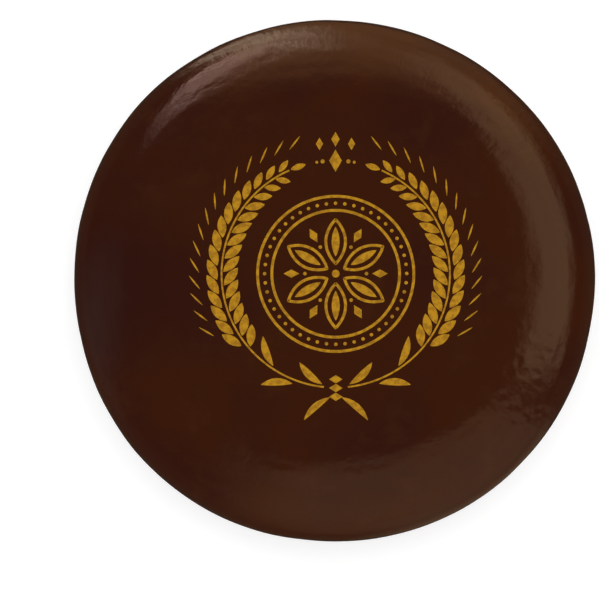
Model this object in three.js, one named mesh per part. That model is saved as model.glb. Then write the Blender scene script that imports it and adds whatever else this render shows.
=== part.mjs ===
// A whole wheel of aged farmhouse cow cheese in its dark brown coat, lying on its underside.
// Millimetres, +Z up. The origin is the middle of the underside, and the face that carries
// the printed emblem is the top one, with the emblem's upper edge towards +Y.
import * as THREE from 'three';

// The wheel's size and the shape of its section.
const diameter = 360; // across the bulge of the rim
const height = 120;
const flatShare = 0.42; // share of the radius over which the faces are flat before they round off
const shoulderPower = 2.6; // 2 rounds a shoulder off as an ellipse, and more makes it fuller
const bulgeShare = 0.48; // height of the bulge as a share of the wheel's, just under the middle: it has settled

// How finely the section and the turn are divided.
const flatRings = 6; // from the middle of a face to the end of its flat
const shoulderRings = 14; // from there to the bulge
const turnSteps = 108;

// A few long waves keep the rim from being a true circle: how many go round, how far they push
// it in and out, where they start and how far round they drift from the underside to the top.
const rimWaves = [
  { count: 2, size: 0.5, start: 2.6, drift: 0.3 },
  { count: 3, size: 0.4, start: 6.1, drift: -0.5 },
  { count: 4, size: 0.45, start: 2.9, drift: 0.6 },
  { count: 5, size: 0.2, start: 5.6, drift: -0.8 },
];

// The top has dried unevenly: each swell runs across it in one direction.
const topSwells = [
  { length: 210, size: 0.3, heading: 0.4, start: 0.9 },
  { length: 150, size: 0.2, heading: 1.9, start: 3.3 },
  { length: 95, size: 0.12, heading: 2.7, start: 5.0 },
];

const radius = diameter / 2;
const flatRadius = flatShare * radius;
const bulgeHeight = bulgeShare * height;

// One shoulder as a quarter of a superellipse, from the flat of a face at faceHeight out to the bulge.
function shoulder(faceHeight) {
  const points = [];
  for (let i = 0; i <= shoulderRings; i++) {
    const turn = (i / shoulderRings) * (Math.PI / 2);
    const out = Math.sin(turn) ** (2 / shoulderPower);
    const up = Math.max(Math.cos(turn), 0) ** (2 / shoulderPower);
    points.push(new THREE.Vector2(
      flatRadius + (radius - flatRadius) * out,
      bulgeHeight + (faceHeight - bulgeHeight) * up,
    ));
  }
  return points;
}

// The flat of a face, from the axis to where its shoulder begins.
function flat(faceHeight) {
  const points = [];
  for (let i = 0; i < flatRings; i++) {
    points.push(new THREE.Vector2((i / flatRings) * flatRadius, faceHeight));
  }
  return points;
}

// Half of the wheel's section, from the middle of the underside round the rim to the middle of the top.
function section() {
  const lower = [...flat(0), ...shoulder(0)];
  const upper = [...flat(height), ...shoulder(height)].reverse();
  return [...lower, ...upper.slice(1)]; // both halves hold the point on the bulge
}

function rimPush(angle, z) {
  return rimWaves.reduce((sum, wave) => {
    const phase = wave.count * angle + wave.start + wave.drift * (z / height);
    return sum + wave.size * Math.cos(phase);
  }, 0);
}

function topPush(x, y) {
  return topSwells.reduce((sum, swell) => {
    const along = x * Math.cos(swell.heading) + y * Math.sin(swell.heading);
    return sum + swell.size * Math.sin((2 * Math.PI * along) / swell.length + swell.start);
  }, 0);
}

// Moves each point of the turned shape: outwards past the flat of the faces, and up or down above
// the bulge only, so that the underside stays flat on what carries it.
function settle(geometry) {
  const position = geometry.getAttribute('position');
  for (let i = 0; i < position.count; i++) {
    const x = position.getX(i);
    const y = position.getY(i);
    const z = position.getZ(i);
    const distance = Math.hypot(x, y);
    const push = rimPush(Math.atan2(y, x), z) * THREE.MathUtils.smoothstep(distance, flatRadius, radius);
    const grow = distance > 0 ? 1 + push / distance : 1;
    const lift = topPush(x, y) * THREE.MathUtils.smoothstep(z, bulgeHeight, height);
    position.setXYZ(i, x * grow, y * grow, z + lift);
  }
}

// The waves leave the outline a little off the axis, so the shape is moved back over the origin.
function centre(geometry) {
  geometry.computeBoundingBox();
  const middle = geometry.boundingBox.getCenter(new THREE.Vector3());
  geometry.translate(-middle.x, -middle.y, 0);
}

function wheelGeometry() {
  const geometry = new THREE.LatheGeometry(section(), turnSteps);
  geometry.rotateX(Math.PI / 2);
  settle(geometry);
  centre(geometry);
  geometry.computeVertexNormals();
  return geometry;
}

// The coat over the rind is a dark, fairly glossy plastic film.
const coat = new THREE.MeshStandardMaterial({ color: 0x37190c, roughness: 0.35, metalness: 0 });

const wheel = new THREE.Mesh(wheelGeometry(), coat);
wheel.name = 'cheese_wheel';

const cheese = new THREE.Group();
cheese.name = 'aged_cow_cheese';
cheese.add(wheel);

export default cheese;
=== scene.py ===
import math
import random

import bmesh
import bpy
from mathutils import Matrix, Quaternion, Vector, noise
from mathutils.bvhtree import BVHTree


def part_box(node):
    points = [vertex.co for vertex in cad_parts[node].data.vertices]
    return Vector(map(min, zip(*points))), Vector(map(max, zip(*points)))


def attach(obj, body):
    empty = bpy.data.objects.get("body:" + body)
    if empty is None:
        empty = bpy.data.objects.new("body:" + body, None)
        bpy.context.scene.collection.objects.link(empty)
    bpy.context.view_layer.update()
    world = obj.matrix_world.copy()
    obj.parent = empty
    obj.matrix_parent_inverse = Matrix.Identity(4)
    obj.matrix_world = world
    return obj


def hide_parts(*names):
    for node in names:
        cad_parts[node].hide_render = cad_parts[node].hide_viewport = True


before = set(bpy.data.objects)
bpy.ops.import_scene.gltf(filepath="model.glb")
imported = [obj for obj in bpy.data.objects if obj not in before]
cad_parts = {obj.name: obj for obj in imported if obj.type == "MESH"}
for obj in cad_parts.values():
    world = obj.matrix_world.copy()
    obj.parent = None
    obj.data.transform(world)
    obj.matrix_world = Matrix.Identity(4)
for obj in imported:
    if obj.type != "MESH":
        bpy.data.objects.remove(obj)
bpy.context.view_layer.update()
fullTurn = 2 * math.pi
print("frame loaded")


# Small helpers

def smoothStep(value, low, high):
    share = min(max((value - low) / (high - low), 0), 1)
    return share * share * (3 - 2 * share)


def onCircle(radius, angle):
    return Vector((radius * math.cos(angle), radius * math.sin(angle), 0))


def addPiece(name, bm, material):
    mesh = bpy.data.meshes.new(name)
    bm.to_mesh(mesh)
    bm.free()
    mesh.materials.append(material)
    piece = bpy.data.objects.new(name, mesh)
    bpy.context.scene.collection.objects.link(piece)
    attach(piece, "root")
    return piece


# Materials

class Value:
    # a socket that can be reckoned with: a sum on it adds its Math node
    def __init__(self, shading, socket):
        self.shading = shading
        self.socket = socket

    def maths(self, operation, *values):
        return self.shading.node("ShaderNodeMath", {"operation": operation}, dict(enumerate(values)))

    def __add__(self, other):
        return self.maths("ADD", self, other)

    def __sub__(self, other):
        return self.maths("SUBTRACT", self, other)

    def __rsub__(self, other):
        return self.maths("SUBTRACT", other, self)

    def __mul__(self, other):
        return self.maths("MULTIPLY", self, other)

    def __truediv__(self, other):
        return self.maths("DIVIDE", self, other)

    def __gt__(self, other):
        return self.maths("GREATER_THAN", self, other)

    __radd__ = __add__
    __rmul__ = __mul__


class Shading:
    # the nodes of a material or a lamp, and the one way in which nodes are added to them
    def __init__(self, owner):
        owner.use_nodes = True
        self.tree = owner.node_tree
        self.tree.nodes.clear()

    def node(self, kind, settings={}, inputs={}, output=0):
        added = self.tree.nodes.new(kind)
        for name, setting in settings.items():
            setattr(added, name, setting)
        for key, item in inputs.items():
            if isinstance(item, Value):
                self.tree.links.new(item.socket, added.inputs[key])
            else:
                added.inputs[key].default_value = item
        return Value(self, added.outputs[output])

    def place(self):
        return self.node("ShaderNodeTexCoord", output="Object")

    def grain(self, place, size, detail=2, roughness=0.5):
        return self.node("ShaderNodeTexNoise", {"noise_dimensions": "3D"},
                         {"Vector": place, "Scale": 1 / size, "Detail": detail, "Roughness": roughness})

    def spread(self, value, low, high, to=(0, 1)):
        inputs = {"Value": value, "From Min": low, "From Max": high, "To Min": to[0], "To Max": to[1]}
        return self.node("ShaderNodeMapRange", {"interpolation_type": "SMOOTHSTEP"}, inputs)

    def blend(self, share, first, second):
        # by number, as the Mix node's colour sockets have the names of its others
        return self.node("ShaderNodeMix", {"data_type": "RGBA"}, {0: share, 6: first, 7: second}, output=2)

    def bump(self, height):
        return self.node("ShaderNodeBump", {}, {"Height": height, "Strength": 1, "Distance": 1})

    def surface(self, inputs):
        self.finish("ShaderNodeOutputMaterial", self.node("ShaderNodeBsdfPrincipled", {}, inputs))

    def finish(self, kind, shader):
        end = self.tree.nodes.new(kind)
        self.tree.links.new(shader.socket, end.inputs["Surface"])


coat = {
    "deep": (0.0385, 0.0084, 0.0020, 1),
    "cool": (0.0325, 0.0068, 0.0028, 1),
    "coolSize": 0.09,  # of the broad patches that are cooler
    "coolEdge": (0.4, 0.62),  # the noise at which they begin and are full
    "warm": (0.0500, 0.0125, 0.0024, 1),
    "warmSize": 0.022,
    "warmEdge": (0.52, 0.75),
    "warmShare": 0.5,
    # painted shade: a darker colour standing in for the shade low on the left side of the rim
    "paintedShade": (0.0265, 0.0056, 0.0034, 1),
    "paintedShadePlaces": [  # middle, reach and share of the places where painted shade darkens the coat, low on the left of the rim
        ((-0.150, -0.008, 0.092), 0.085, 0.8),
    ],
    "fullReach": 0.3,  # share of a place's reach inside which it has its whole share
    "roughness": 0.15,
    "roughnessSwing": 0.10,
    "ior": 1.47,
    "peelSize": 0.0045,
    "peelDepth": 0.00012,
    "fineSize": 0.0012,
    "fineDepth": 0.000006,
    "pebbleSize": 0.0085,
    "pebbleDepth": 0.00035,
    "pebbleTrace": 0.10,  # share of the pebbling that is left outside its places
    "pebblePlaces": [  # middle, reach and share of the places where the coat dried pebbly
        ((0.130, -0.072, 0.100), 0.055, 1.0),
        ((0.165, 0.040, 0.030), 0.035, 1.0),
        ((-0.150, -0.080, 0.070), 0.050, 1.0),
    ],
    "creaseRound": 14,  # creases on a radian of the rim
    "creaseWidth": 0.0070,
    "creaseDepth": 0.00050,
    "creaseTrace": 0.12,
    "creasePlaces": [  # where it dried in creases along the rim
        ((-0.100, 0.135, 0.065), 0.075, 1.0),
        ((0.060, -0.165, 0.050), 0.050, 1.0),
    ],
    "strokeRound": 30,  # brush strokes on a radian
    "strokeWidth": 0.020,
    "strokeDepth": 0.00052,
    "strokeTrace": 0.10,
    "strokePlaces": [  # where the brush went up over the rim
        ((-0.030, 0.165, 0.075), 0.060, 1.0),
        ((-0.062, 0.160, 0.084), 0.040, 0.7),
        ((0.080, 0.135, 0.090), 0.060, 0.6),
        ((0.118, 0.092, 0.105), 0.055, 0.6),
    ],
    "dimpleGap": 0.0080,
    "dimpleSize": 0.72,  # share of the gap
    "dimpleSoftness": 0.4,
    "dimpleDepth": 0.00018,
    "pitGap": 0.013,
    "pitSize": 0.16,  # share of the gap
    "pitless": 0.6,  # share of the cells that stay without a pit
    "pitDepth": 0.00006,
}


def shareOf(shading, place, trace, places):
    # full in the middle of each of the places and a trace elsewhere
    share = trace
    for middle, reach, most in places:
        between = {0: place, 1: middle}
        away = shading.node("ShaderNodeVectorMath", {"operation": "DISTANCE"}, between, output="Value")
        share = shading.spread(away, reach, coat["fullReach"] * reach, to=(0, most)) + share
    return share


def rimPlace(shading, place):
    # the way out from the axis, and how far up and in over the rim
    flat = shading.node("ShaderNodeVectorMath", {"operation": "MULTIPLY"}, {0: place, 1: (1, 1, 0)})
    distance = shading.node("ShaderNodeVectorMath", {"operation": "LENGTH"}, {0: flat}, output="Value")
    way = shading.node("ShaderNodeVectorMath", {"operation": "NORMALIZE"}, {0: flat})
    height = shading.node("ShaderNodeSeparateXYZ", {}, {"Vector": place}, output="Z")
    return way, height - distance


def rimGrain(shading, rim, count, width):
    # noise that is drawn out along the rim or across it: so many on a radian and so wide across
    way, over = rim
    across = shading.node("ShaderNodeCombineXYZ", {}, {"Z": over / width})
    turned = shading.node("ShaderNodeVectorMath", {"operation": "SCALE"}, {0: way, "Scale": count})
    spot = shading.node("ShaderNodeVectorMath", {"operation": "ADD"}, {0: turned, 1: across})
    return shading.grain(spot, 1)


def dimpleShare(shading, place):
    # 1 in the middle of each of the soft round dimples
    cells = {"Vector": place, "Scale": 1 / coat["dimpleGap"], "Smoothness": coat["dimpleSoftness"],
             "Randomness": 1.0}
    away = shading.node("ShaderNodeTexVoronoi", {"feature": "SMOOTH_F1"}, cells, output="Distance")
    return shading.spread(away, coat["dimpleSize"], 0)


def pitShare(shading, place):
    # 1 in the middle of each small pit, which only some of the cells have
    cells = {"Vector": place, "Scale": 1 / coat["pitGap"], "Randomness": 1.0}
    away = shading.node("ShaderNodeTexVoronoi", {"feature": "F1"}, cells, output="Distance")
    pick = shading.node("ShaderNodeTexVoronoi", {"feature": "F1"}, cells, output="Color")
    chosen = shading.node("ShaderNodeSeparateColor", {}, {"Color": pick}, output="Red") > coat["pitless"]
    return shading.spread(away, coat["pitSize"], 0) * chosen


def coatHeight(shading, place):
    # the skin of the dried coat, as a height in metres: orange peel, a finer grain, pebbles, creases along
    # the rim, brush strokes across it, dimples and small pits
    peel = shading.grain(place, coat["peelSize"], detail=2) * coat["peelDepth"]
    fine = shading.grain(place, coat["fineSize"], detail=1) * coat["fineDepth"]
    pebbly = shareOf(shading, place, coat["pebbleTrace"], coat["pebblePlaces"])
    pebble = shading.grain(place, coat["pebbleSize"], detail=1.5) * pebbly * coat["pebbleDepth"]
    creased = shareOf(shading, place, coat["creaseTrace"], coat["creasePlaces"])
    rim = rimPlace(shading, place)
    crease = rimGrain(shading, rim, coat["creaseRound"], coat["creaseWidth"]) * creased * coat["creaseDepth"]
    brushed = shareOf(shading, place, coat["strokeTrace"], coat["strokePlaces"])
    stroke = rimGrain(shading, rim, coat["strokeRound"], coat["strokeWidth"]) * brushed * coat["strokeDepth"]
    dimple = dimpleShare(shading, place) * pebbly * coat["dimpleDepth"]
    pit = pitShare(shading, place) * coat["pitDepth"]
    return peel + fine + pebble + crease + stroke - dimple - pit


def makeCoat():
    material = bpy.data.materials.new("cheeseCoat")
    shading = Shading(material)
    place = shading.place()
    broad = shading.grain(place, coat["coolSize"], detail=3)
    patch = shading.grain(place, coat["warmSize"], detail=4, roughness=0.6)
    cooled = shading.spread(broad, *coat["coolEdge"])
    warmed = shading.spread(patch, *coat["warmEdge"]) * coat["warmShare"]
    # the share of painted shade, which darkens the coat low on the left side of the rim
    paintedShadeShare = shareOf(shading, place, 0, coat["paintedShadePlaces"])
    colour = shading.blend(cooled, coat["deep"], coat["cool"])
    colour = shading.blend(warmed, colour, coat["warm"])
    # painted shade: the coat turns darker low on the left of the rim
    colour = shading.blend(paintedShadeShare, colour, coat["paintedShade"])
    shading.surface({
        "Base Color": colour,
        "Roughness": coat["roughness"] + (patch - 0.5) * coat["roughnessSwing"],
        "IOR": coat["ior"],
        "Normal": shading.bump(coatHeight(shading, place)),
    })
    return material


gilt = {
    "bright": (0.432, 0.209, 0.0045, 1),
    "dull": (0.285, 0.128, 0.0030, 1),
    "mottleSize": 0.004,
    "mottleEdge": (0.36, 0.62),  # the noise at which it is dull and bright
    "roughness": 0.42,
    "roughnessSwing": 0.1,
    "gloss": 0.12,  # specular level
}


def makeGilt():
    material = bpy.data.materials.new("giltInk")
    shading = Shading(material)
    place = shading.place()
    mottle = shading.grain(place, gilt["mottleSize"], detail=3, roughness=0.6)
    brightened = shading.spread(mottle, *gilt["mottleEdge"])
    shading.surface({
        "Base Color": shading.blend(brightened, gilt["dull"], gilt["bright"]),
        "Roughness": gilt["roughness"] + (mottle - 0.5) * gilt["roughnessSwing"],
        "Specular IOR Level": gilt["gloss"],
        "Normal": shading.bump(coatHeight(shading, place)),
    })
    return material


coatMaterial = makeCoat()
giltMaterial = makeGilt()
print("materials made")


# The coated wheel: its section turned once round, settled as the solid is, and then given its coat's relief

wheel = {
    "diameter": 0.360,
    "height": 0.120,
    "flatShare": 0.42,  # share of the radius over which the faces are flat
    "shoulderPower": 2.6,
    "bulgeShare": 0.48,
    "ringGap": 0.0026,  # between the rings of the mesh
    "turnSteps": 400,
    "mergeGap": 0.000001,
    "rimWaves": [  # how many go round, how far they push, where they start, how far they drift up the rim
        {"count": 2, "size": 0.0005, "start": 2.6, "drift": 0.3},
        {"count": 3, "size": 0.0004, "start": 6.1, "drift": -0.5},
        {"count": 4, "size": 0.00045, "start": 2.9, "drift": 0.6},
        {"count": 5, "size": 0.0002, "start": 5.6, "drift": -0.8},
    ],
    "topSwells": [
        {"length": 0.210, "size": 0.0003, "heading": 0.4, "start": 0.9},
        {"length": 0.150, "size": 0.0002, "heading": 1.9, "start": 3.3},
        {"length": 0.095, "size": 0.00012, "heading": 2.7, "start": 5.0},
    ],
}
wheel["radius"] = wheel["diameter"] / 2
wheel["flatRadius"] = wheel["flatShare"] * wheel["radius"]
wheel["bulgeHeight"] = wheel["bulgeShare"] * wheel["height"]


def shoulderPoints(faceHeight, steps=400):
    points = []
    for i in range(steps + 1):
        turn = i / steps * math.pi / 2
        out = math.sin(turn) ** (2 / wheel["shoulderPower"])
        up = max(math.cos(turn), 0) ** (2 / wheel["shoulderPower"])
        points.append(Vector((
            wheel["flatRadius"] + (wheel["radius"] - wheel["flatRadius"]) * out,
            0,
            wheel["bulgeHeight"] + (faceHeight - wheel["bulgeHeight"]) * up,
        )))
    return points


def evenly(points, gap):
    # the same line with its points an even gap apart
    length = sum((b - a).length for a, b in zip(points, points[1:]))
    count = round(length / gap)
    step = length / count
    spaced = [points[0]]
    walked = 0
    for a, b in zip(points, points[1:]):
        part = (b - a).length
        while walked + part >= step * len(spaced) and len(spaced) < count:
            spaced.append(a.lerp(b, (step * len(spaced) - walked) / part))
        walked += part
    spaced.append(points[-1])
    return spaced


def sectionPoints():
    lower = [Vector((0, 0, 0))] + shoulderPoints(0)
    upper = [Vector((0, 0, wheel["height"]))] + shoulderPoints(wheel["height"])
    return evenly(lower + upper[::-1][1:], wheel["ringGap"])


def rimPush(angle, z):
    # how far the long waves push the rim in or out
    total = 0
    for wave in wheel["rimWaves"]:
        phase = wave["count"] * angle + wave["start"] + wave["drift"] * z / wheel["height"]
        total += wave["size"] * math.cos(phase)
    return total


def topPush(x, y):
    # how far the swells raise or lower the top
    total = 0
    for swell in wheel["topSwells"]:
        along = x * math.cos(swell["heading"]) + y * math.sin(swell["heading"])
        total += swell["size"] * math.sin(fullTurn * along / swell["length"] + swell["start"])
    return total


def settle(bm):
    # the long waves of the rim and the swells of the top, as the solid has them
    for vert in bm.verts:
        x, y, z = vert.co
        distance = math.hypot(x, y)
        push = rimPush(math.atan2(y, x), z) * smoothStep(distance, wheel["flatRadius"], wheel["radius"])
        lift = topPush(x, y) * smoothStep(z, wheel["bulgeHeight"], wheel["height"])
        grow = 1 + push / distance if distance > 0 else 1
        vert.co = (x * grow, y * grow, z + lift)


relief = {
    "shoulder": (0.6, 0.82),  # shares of the radius where the rim's relief begins and is full
    "grounded": 0.012,  # height from which the relief is full, as the underside lies flat
    "lumpSize": 0.045,
    "lumpDepth": 0.00030,
    "lumpFlat": 0.35,  # share of the lumps that the flat of the faces has
    "rippleLength": 0.034,  # along the rim
    "rippleWidth": 0.0085,  # across it
    "rippleDepth": 0.00028,
    "dents": 16,
    "dentSeed": 7,
    "dentHeights": (0.3, 0.93),  # shares of the wheel's height
    "dentRadius": (0.006, 0.014),
    "dentDepth": (0.00015, 0.00040),
    "dentReach": 2.5,  # radii from its middle at which a dent has run out
}


def makeDents():
    # the middle, radius and depth of each dent, its middle on the section as it was turned
    draw = random.Random(relief["dentSeed"])
    dents = []
    for _ in range(relief["dents"]):
        angle = draw.uniform(0, fullTurn)
        height = draw.uniform(*relief["dentHeights"]) * wheel["height"]
        share = (height - wheel["bulgeHeight"]) / (wheel["height"] - wheel["bulgeHeight"])
        out = (1 - abs(share) ** wheel["shoulderPower"]) ** (1 / wheel["shoulderPower"])
        distance = wheel["flatRadius"] + (wheel["radius"] - wheel["flatRadius"]) * out
        middle = onCircle(distance, angle)
        middle.z = height
        dents.append((middle, draw.uniform(*relief["dentRadius"]), draw.uniform(*relief["dentDepth"])))
    return dents


def addRelief(bm):
    # pushes each point along its normal by the lumps, the ripples along the rim and the dents
    bm.normal_update()
    dents = makeDents()
    shoulderStart, shoulderFull = (share * wheel["radius"] for share in relief["shoulder"])
    moves = []
    for vert in bm.verts:
        x, y, z = vert.co
        distance = math.hypot(x, y)
        side = math.copysign(1, z - wheel["bulgeHeight"])
        along = z - wheel["bulgeHeight"] + side * (wheel["radius"] - distance)  # over the rim from the bulge
        angle = math.atan2(y, x)
        turned = onCircle(wheel["radius"] / relief["rippleLength"], angle)
        turned.z = along / relief["rippleWidth"]
        shoulder = smoothStep(distance, shoulderStart, shoulderFull)
        grounded = smoothStep(z, 0, relief["grounded"])
        lumpShare = relief["lumpFlat"] + (1 - relief["lumpFlat"]) * shoulder
        push = relief["lumpDepth"] * noise.noise(vert.co / relief["lumpSize"]) * lumpShare
        push += relief["rippleDepth"] * noise.noise(turned) * shoulder
        for middle, radius, depth in dents:
            gap = (vert.co - middle).length / radius
            if gap < relief["dentReach"]:
                push -= depth * math.exp(-gap * gap)
        moves.append(vert.normal * push * grounded)
    for vert, move in zip(bm.verts, moves):
        vert.co += move


def recentre(bm):
    # over the middle of the solid that the wheel stands for
    low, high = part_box("cheese_wheel")
    xs = [vert.co.x for vert in bm.verts]
    ys = [vert.co.y for vert in bm.verts]
    shiftX = (low[0] + high[0] - min(xs) - max(xs)) / 2
    shiftY = (low[1] + high[1] - min(ys) - max(ys)) / 2
    bmesh.ops.translate(bm, vec=(shiftX, shiftY, 0), verts=bm.verts)


def makeWheel():
    bm = bmesh.new()
    verts = [bm.verts.new(point) for point in sectionPoints()]
    edges = [bm.edges.new(pair) for pair in zip(verts, verts[1:])]
    bmesh.ops.spin(bm, geom=verts + edges, cent=(0, 0, 0), axis=(0, 0, 1), angle=fullTurn,
                   steps=wheel["turnSteps"], use_merge=True)
    bmesh.ops.remove_doubles(bm, verts=bm.verts, dist=wheel["mergeGap"])
    bmesh.ops.recalc_face_normals(bm, faces=bm.faces)
    settle(bm)
    recentre(bm)
    addRelief(bm)
    for face in bm.faces:
        face.smooth = True
    bm.normal_update()
    skin = BVHTree.FromBMesh(bm)
    piece = addPiece("coatedWheel", bm, coatMaterial)
    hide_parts("cheese_wheel")
    return skin


wheelSkin = makeWheel()
print("wheel made")


# The print: every motif is drawn flat round the ornament's middle, laid on the wheel and given its thickness

ornament = {
    "middle": (0.0, -0.003),
    "line": 0.0019,
    "thinLine": 0.0012,
    "segment": 0.002,  # about the length of one facet along a line
    "taper": 0.4,  # how much the sides of a petal or grain are drawn in towards its tips
    "proud": 0.00012,
    "sunk": 0.00015,
    "sharpEdge": 0.6,  # radians between two faces from which the edge between them stays sharp
}


def arcLine(bm, radius, width, start, sweep):
    # a band along an arc round the middle, all the way round where the sweep is a full turn
    ends = [bm.verts.new(onCircle(radius + side * width / 2, start)) for side in (-1, 1)]
    edge = bm.edges.new(ends)
    steps = round(radius * abs(sweep) / ornament["segment"])
    bmesh.ops.spin(bm, geom=ends + [edge], cent=(0, 0, 0), axis=(0, 0, 1), angle=sweep, steps=steps,
                   use_merge=abs(sweep) >= fullTurn)


def turnInto(verts, place, angle):
    for vert in verts:
        x, y = vert.co.x, vert.co.y
        vert.co.x = place.x + x * math.cos(angle) - y * math.sin(angle)
        vert.co.y = place.y + x * math.sin(angle) + y * math.cos(angle)


def lens(bm, length, width, place, angle, bend=0, points=20):
    # a filled grain, petal or leaf, pointed at both ends, its length along the angle
    made = bmesh.ops.create_circle(bm, cap_ends=True, radius=1, segments=points)["verts"]
    for vert in made:
        x, y = vert.co.x, vert.co.y
        inside = max(1 - x * x, 0)  # 0 at the tips and 1 half-way
        vert.co = (x * length / 2, y * inside ** ornament["taper"] * width / 2 + bend * inside, 0)
    turnInto(made, place, angle)
    return made


def dot(bm, radius, place, points=14):
    made = bmesh.ops.create_circle(bm, cap_ends=True, radius=radius, segments=points)["verts"]
    turnInto(made, place, 0)


def lozenge(bm, length, width, place, angle):
    made = bmesh.ops.create_circle(bm, cap_ends=True, radius=1, segments=4)["verts"]
    for vert in made:
        vert.co = (vert.co.x * length / 2, vert.co.y * width / 2, 0)
    turnInto(made, place, angle)


def outlined(bm, length, width, place, angle, line):
    # a lens drawn as its outline: the middle of the filled one is taken out
    made = lens(bm, length, width, place, angle, points=40)
    face = made[0].link_faces[0]
    bmesh.ops.inset_region(bm, faces=[face], thickness=line, use_boundary=True, use_even_offset=True)
    bmesh.ops.delete(bm, geom=[face], context="FACES")


def layOn(bm):
    # lowers each point on to the coat, then lifts the print a little proud and closes it below
    middle = Vector((*ornament["middle"], 0))
    above = wheel["height"] * 2
    for vert in bm.verts:
        vert.co += middle
        hit = wheelSkin.ray_cast(Vector((vert.co.x, vert.co.y, above)), Vector((0, 0, -1)))[0]
        vert.co.z = hit.z - ornament["sunk"]
    thickness = Vector((0, 0, ornament["proud"] + ornament["sunk"]))
    raised = bmesh.ops.extrude_face_region(bm, geom=bm.faces[:], use_keep_orig=True)["geom"]
    upper = [item for item in raised if isinstance(item, bmesh.types.BMVert)]
    bmesh.ops.translate(bm, vec=thickness, verts=upper)
    bmesh.ops.recalc_face_normals(bm, faces=bm.faces)
    bm.normal_update()
    for face in bm.faces:
        face.smooth = True
    for edge in bm.edges:
        edge.smooth = edge.calc_face_angle(0) < ornament["sharpEdge"]


def printPiece(name, draw):
    bm = bmesh.new()
    draw(bm)
    bmesh.ops.poke(bm, faces=[face for face in bm.faces if len(face.verts) > 4])
    layOn(bm)
    addPiece(name, bm, giltMaterial)


rosette = {
    "petals": 6,
    "petalStart": 0.0055,
    "petalEnd": 0.0375,
    "petalWidth": 0.0150,
    "core": (0.62, 0.36),  # length and width of the filled lens in a petal, as shares of the petal's
    "dot": 0.0026,
    "diamond": (0.0105, 0.0056),  # length and width
    "diamondAt": 0.0295,  # from the middle
    "seed": 0.0012,
    "seedAt": 0.0205,
}


def drawRosette(bm):
    dot(bm, rosette["dot"], Vector((0, 0, 0)), points=20)
    length = rosette["petalEnd"] - rosette["petalStart"]
    width = rosette["petalWidth"]
    coreLength, coreWidth = rosette["core"]
    for i in range(rosette["petals"]):
        angle = (i + 0.5) / rosette["petals"] * fullTurn
        between = angle + fullTurn / rosette["petals"] / 2
        middle = onCircle((rosette["petalStart"] + rosette["petalEnd"]) / 2, angle)
        outlined(bm, length, width, middle, angle, ornament["line"])
        lens(bm, length * coreLength, width * coreWidth, middle, angle)
        lozenge(bm, *rosette["diamond"], onCircle(rosette["diamondAt"], between), between)
        dot(bm, rosette["seed"], onCircle(rosette["seedAt"], between))


rings = {
    "inner": 0.0425,
    "outer": 0.0520,
    "beads": 48,
    "bead": 0.0012,
}


def drawRings(bm):
    arcLine(bm, rings["inner"], ornament["line"], 0, fullTurn)
    arcLine(bm, rings["outer"], ornament["line"], 0, fullTurn)
    between = (rings["inner"] + rings["outer"]) / 2
    for i in range(rings["beads"]):
        dot(bm, rings["bead"], onCircle(between, i / rings["beads"] * fullTurn), points=10)


wreath = {
    "radius": 0.0760,
    "stemStart": math.radians(-84),
    "earStart": math.radians(-38),
    "earEnd": math.radians(66),
    "grains": 15,
    "grainLength": 0.0150,
    "grainWidth": 0.0060,
    "lean": {1: math.radians(27), -1: math.radians(40)},  # of a grain away from the stem, outside and inside
    "away": 0.0062,  # of a grain's middle from the stem
    "lag": 0.25,  # of the inner grain behind its place and the outer one ahead, in steps
    "thinning": 0.35,  # share of their size that the last grains lack
    "thinFrom": 0.6,  # share of the ear where that begins
    "tip": 0.7,  # size of the grain at the tip, and its steps past the others
    "awnLength": 0.0120,
    "awnAway": 0.0120,  # of an awn's middle outside its grain's
    "awnAhead": math.radians(8.5),
    "leaves": (-76, -62, -49),  # degrees along the stem, inside and outside it by turns
    "leafLength": 0.0210,
    "leafWidth": 0.0050,
    "leafBend": 0.0016,
    "leafAway": 0.0075,
    "leafLean": math.radians(30),
}


def drawEar(bm, mirror):
    # one stalk up the right-hand side, or the left-hand one where mirror is -1
    def put(radius, angle):
        point = onCircle(radius, angle)
        point.x *= mirror
        return point

    def heading(angle):
        return angle if mirror > 0 else math.pi - angle

    def grain(size, place, pointing):
        lens(bm, wreath["grainLength"] * size, wreath["grainWidth"] * size, place, pointing)

    sweep = (wreath["earEnd"] - wreath["stemStart"]) * mirror
    arcLine(bm, wreath["radius"], ornament["thinLine"], heading(wreath["stemStart"]), sweep)
    step = (wreath["earEnd"] - wreath["earStart"]) / wreath["grains"]
    for i in range(wreath["grains"]):
        thinned = smoothStep(i, wreath["grains"] * wreath["thinFrom"], wreath["grains"])
        size = 1 - wreath["thinning"] * thinned
        for side in (-1, 1):
            at = wreath["earStart"] + (i + 0.5 + wreath["lag"] * side) * step
            radius = wreath["radius"] + side * wreath["away"] * size
            pointing = heading(at + math.pi / 2 - side * wreath["lean"][side])
            grain(size, put(radius, at), pointing)
            if side > 0:
                far = put(radius + wreath["awnAway"], at + wreath["awnAhead"])
                lens(bm, wreath["awnLength"], ornament["thinLine"], far, pointing, points=12)
    at = wreath["earEnd"] + step * wreath["tip"]
    grain(wreath["tip"], put(wreath["radius"], at), heading(at + math.pi / 2))
    for i, degrees in enumerate(wreath["leaves"]):
        at = math.radians(degrees)
        side = 1 if i % 2 else -1
        place = put(wreath["radius"] + side * wreath["leafAway"], at)
        pointing = heading(at + math.pi / 2 - side * wreath["leafLean"])
        bend = wreath["leafBend"] * side * mirror
        lens(bm, wreath["leafLength"], wreath["leafWidth"], place, pointing, bend=bend)


def drawWreath(bm):
    for mirror in (1, -1):
        drawEar(bm, mirror)


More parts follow.
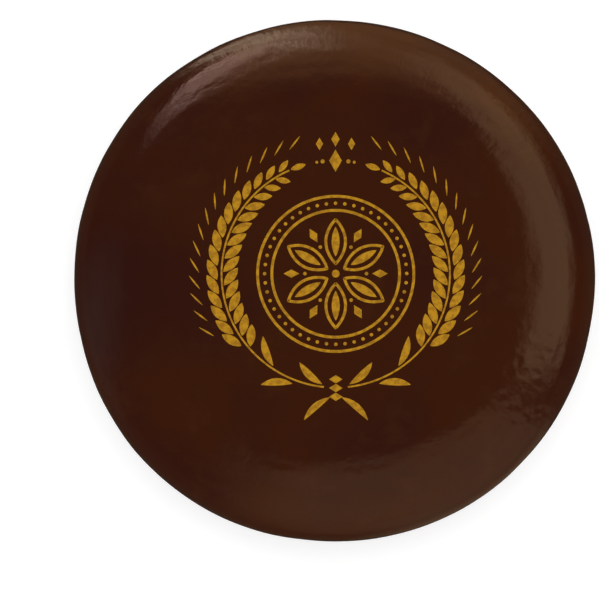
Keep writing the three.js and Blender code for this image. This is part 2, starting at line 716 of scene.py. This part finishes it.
ends = {
    "knots": 3,
    "knot": (0.0055, 0.0090),  # length and width, as for the diamonds and the tails
    "knotAway": -0.0055,  # of the first one outside the stems' circle
    "knotGap": 0.0058,
    "tail": (0.0230, 0.0044),
    "tailAt": (0.0125, -0.0900),
    "tailTurn": math.radians(49),
    "tailBend": 0.0018,
    "diamond": (0.0150, 0.0085),
    "upperDiamond": (0.0100, 0.0056),
    "upperAway": 0.0145,
    "sideDiamond": (0.0085, 0.0048),
    "sideAway": 0.0120,
    "sideTurn": math.radians(7),
    "dots": ((0.0014, 6.5), (0.0010, 9.5)),  # radius, and degrees from the top
}


def drawEnds(bm):
    # the tie with its tails below and the diamonds above, in the gaps that the wreath leaves
    radius = wreath["radius"]
    bottom = -math.pi / 2
    top = math.pi / 2
    for i in range(ends["knots"]):
        away = ends["knotAway"] + i * ends["knotGap"]
        lozenge(bm, *ends["knot"], onCircle(radius + away, bottom), bottom)
    lozenge(bm, *ends["diamond"], onCircle(radius, top), top)
    lozenge(bm, *ends["upperDiamond"], onCircle(radius + ends["upperAway"], top), top)
    for side in (-1, 1):
        for size, degrees in ends["dots"]:
            dot(bm, size, onCircle(radius, top + side * math.radians(degrees)))
        place = onCircle(radius + ends["sideAway"], top + side * ends["sideTurn"])
        lozenge(bm, *ends["sideDiamond"], place, top)
        x, y = ends["tailAt"]
        turn = bottom + side * ends["tailTurn"]
        lens(bm, *ends["tail"], Vector((side * x, y, 0)), turn, bend=ends["tailBend"] * side)


printPiece("giltRosette", drawRosette)
printPiece("giltRings", drawRings)
printPiece("giltWreath", drawWreath)
printPiece("giltEnds", drawEnds)
print("print laid on")


# Floor, lights and camera

floor = {"size": 30.0, "colour": (0.88, 0.88, 0.88, 1), "roughness": 0.9, "glow": 0.34}


def makeFloor():
    bm = bmesh.new()
    bmesh.ops.create_grid(bm, x_segments=1, y_segments=1, size=floor["size"] / 2)
    mesh = bpy.data.meshes.new("paleFloor")
    bm.to_mesh(mesh)
    bm.free()
    material = bpy.data.materials.new("paleFloor")
    Shading(material).surface({
        "Base Color": floor["colour"],
        "Roughness": floor["roughness"],
        "Emission Color": (1, 1, 1, 1),
        "Emission Strength": floor["glow"],
    })
    mesh.materials.append(material)
    piece = bpy.data.objects.new("paleFloor", mesh)
    piece.visible_glossy = False
    bpy.context.scene.collection.objects.link(piece)


rig = {
    "distance": 0.80,  # of the screens from the wheel's axis
    "streakWidth": 0.09,  # of the streaks that a screen's cloth shows
    "streakHeight": 0.30,
    "streakEdge": (0.35, 0.65),  # the noise at which they are darkest and brightest
}
gels = {
    "amber": (1.0, 0.5, 0.2),
    "warm": (1.0, 0.7, 0.4),
    "pale": (1.0, 0.8, 0.6),
    "rose": (1.0, 0.65, 0.55),
    "cool": (1.0, 1.0, 0.9),
}

# Each screen stands at an azimuth round the wheel and faces it. It reaches from left to right as the azimuth
# grows and from low to high, may be rolled, and fades towards its left, right, lower and upper edge. Where
# it has "across" or "upwards" its light changes that way, and "streaks" lets its cloth show.
screens = {
    "rightScreen": {
        "azimuth": 10, "reach": (-0.6, 2.2), "heights": (0.1, 1.3), "roll": 0,
        "fade": (0.1, 0.8, 0.2, 0.4), "glow": 1.0, "gel": "warm",
    },
    "farScreen": {
        "azimuth": 90, "reach": (-1.5, 0.6), "heights": (-0.7, 1.2), "roll": 0,
        "fade": (0.4, 0.2, 0, 0.6), "glow": 1.2, "gel": "amber",
        "across": (0.6, 1.4), "upwards": (0.1, 1.2),
    },
    "farLamp": {
        "azimuth": 105, "reach": (-0.4, 0.2), "heights": (-0.6, 0.5), "roll": 20,
        "fade": (0.9, 0.4, 0.3, 0.4), "glow": 2.0, "gel": "pale",
        "across": (0.2, 1.4), "upwards": (0.6, 1.4), "streaks": 0.5,
    },
    "farStrip": {
        "azimuth": 125, "reach": (-0.4, 0.25), "heights": (0.1, 0.7), "roll": 50,
        "fade": (0.2, 0.5, 0.2, 0.8), "glow": 2.6, "gel": "rose",
        "across": (1.4, 0.1), "streaks": 0.5,
    },
    "nearScreen": {
        "azimuth": -75, "reach": (-1.0, 0.9), "heights": (-0.6, 1.9), "roll": 0,
        "fade": (0.4, 0.1, 0.4, 0.3), "glow": 0.5, "gel": "warm",
    },
    "edgeScreen": {
        "azimuth": -50, "reach": (-0.6, 0.4), "heights": (-2.3, 0.8), "roll": 0,
        "fade": (0.4, 0.1, 0, 0.4), "glow": 0.12, "gel": "warm",
    },
    "leftScreen": {
        "azimuth": 195, "reach": (-0.5, 0.2), "heights": (-0.7, 1.1), "roll": 15,
        "fade": (0.6, 0.6, 0.6, 0.6), "glow": 0.2, "gel": "cool",
    },
}
lowLight = {"depth": 1.0, "size": 8.0, "glow": 0.045, "colour": (1.0, 0.70, 0.48)}
studio = {"glow": 1.12, "colour": (1, 1, 1, 1)}


def shadeScreen(lamp, screen):
    # the share of its light that each spot of a screen gives; a lower edge without a fade stays sharp
    shading = Shading(lamp)
    spot = shading.node("ShaderNodeNewGeometry", output="Parametric")
    across = shading.node("ShaderNodeSeparateXYZ", {}, {"Vector": spot}, output="X")
    up = shading.node("ShaderNodeSeparateXYZ", {}, {"Vector": spot}, output="Y")
    left, right, low, high = screen["fade"]
    share = shading.spread(across, 0, left) * shading.spread(across, 1, 1 - right)
    share = share * shading.spread(up, 1, 1 - high)
    if low:
        share = share * shading.spread(up, 0, low)
    if "across" in screen:
        share = share * shading.spread(across, 0, 1, to=screen["across"])
    if "upwards" in screen:
        share = share * shading.spread(up, 0, 1, to=screen["upwards"])
    if "streaks" in screen:
        wide = lamp.size / rig["streakWidth"]
        tall = lamp.size_y / rig["streakHeight"]
        cloth = shading.node("ShaderNodeCombineXYZ", {}, {"X": across * wide, "Y": up * tall})
        contrast = (1 - screen["streaks"], 1 + screen["streaks"])
        share = share * shading.spread(shading.grain(cloth, 1), *rig["streakEdge"], to=contrast)
    light = shading.node("ShaderNodeEmission", {}, {"Color": (*gels[screen["gel"]], 1), "Strength": share})
    shading.finish("ShaderNodeOutputLight", light)


def hangLamp(name, lamp, place, turn):
    # puts up a lamp that shows in the coat's gloss alone
    hung = bpy.data.objects.new(name, lamp)
    hung.location = place
    hung.rotation_euler = turn
    hung.visible_camera = False
    hung.visible_diffuse = False
    bpy.context.scene.collection.objects.link(hung)


def makeScreen(name, screen):
    lamp = bpy.data.lights.new(name, "AREA")
    lamp.shape = "RECTANGLE"
    left, right = screen["reach"]
    low, high = screen["heights"]
    lamp.size = right - left
    lamp.size_y = high - low
    lamp.energy = screen["glow"] * math.pi * lamp.size * lamp.size_y
    shadeScreen(lamp, screen)
    azimuth = math.radians(screen["azimuth"])
    way = onCircle(1, azimuth)
    along = onCircle(1, azimuth + math.pi / 2)
    place = way * rig["distance"] + along * (left + right) / 2 + Vector((0, 0, (low + high) / 2))
    roll = Quaternion((0, 0, 1), math.radians(screen["roll"]))
    hangLamp(name, lamp, place, ((-way).to_track_quat("-Z", "Y") @ roll).to_euler())


def makeLowLight():
    # what little light the underside of the rim mirrors from below
    lamp = bpy.data.lights.new("lowLight", "AREA")
    lamp.size = lowLight["size"]
    lamp.energy = lowLight["glow"] * math.pi * lamp.size ** 2
    lamp.color = lowLight["colour"]
    hangLamp("lowLight", lamp, (0, 0, -lowLight["depth"]), (math.pi, 0, 0))


def makeWorld():
    # even white light from all round, which the gloss doesn't mirror
    world = bpy.data.worlds.new("studio")
    world.use_nodes = True
    back = world.node_tree.nodes["Background"]
    back.inputs["Color"].default_value = studio["colour"]
    back.inputs["Strength"].default_value = studio["glow"]
    world.cycles_visibility.glossy = False
    bpy.context.scene.world = world


camera = {
    "elevation": 84,
    "distance": 1.75,
    "frame": 600,  # pixels across
    "wheelSpan": 521.5,  # pixels across the wheel
    "wheelAt": (334.4, 279.7),  # pixel of the wheel's middle
    "sensor": 36,
}


def makeCamera():
    data = bpy.data.cameras.new("photoView")
    pixel = wheel["diameter"] / camera["wheelSpan"]  # metres that a pixel covers at the wheel
    data.sensor_width = camera["sensor"]
    data.lens = camera["sensor"] * camera["distance"] / (pixel * camera["frame"])
    elevation = math.radians(camera["elevation"])
    way = Vector((0, -math.cos(elevation), math.sin(elevation)))
    up = Vector((0, math.sin(elevation), math.cos(elevation)))
    right = Vector((1, 0, 0))
    half = camera["frame"] / 2
    aim = Vector((0, 0, wheel["bulgeHeight"]))
    aim -= right * (camera["wheelAt"][0] - half) * pixel
    aim -= up * (half - camera["wheelAt"][1]) * pixel
    eye = bpy.data.objects.new("photoView", data)
    eye.location = aim + way * camera["distance"]
    eye.rotation_euler = (-way).to_track_quat("-Z", "Y").to_euler()
    bpy.context.scene.collection.objects.link(eye)
    bpy.context.scene.camera = eye


makeFloor()
for name, screen in screens.items():
    makeScreen(name, screen)
makeLowLight()
makeWorld()
makeCamera()
bpy.context.scene.view_settings.view_transform = "Standard"
print("floor, lights and camera set")
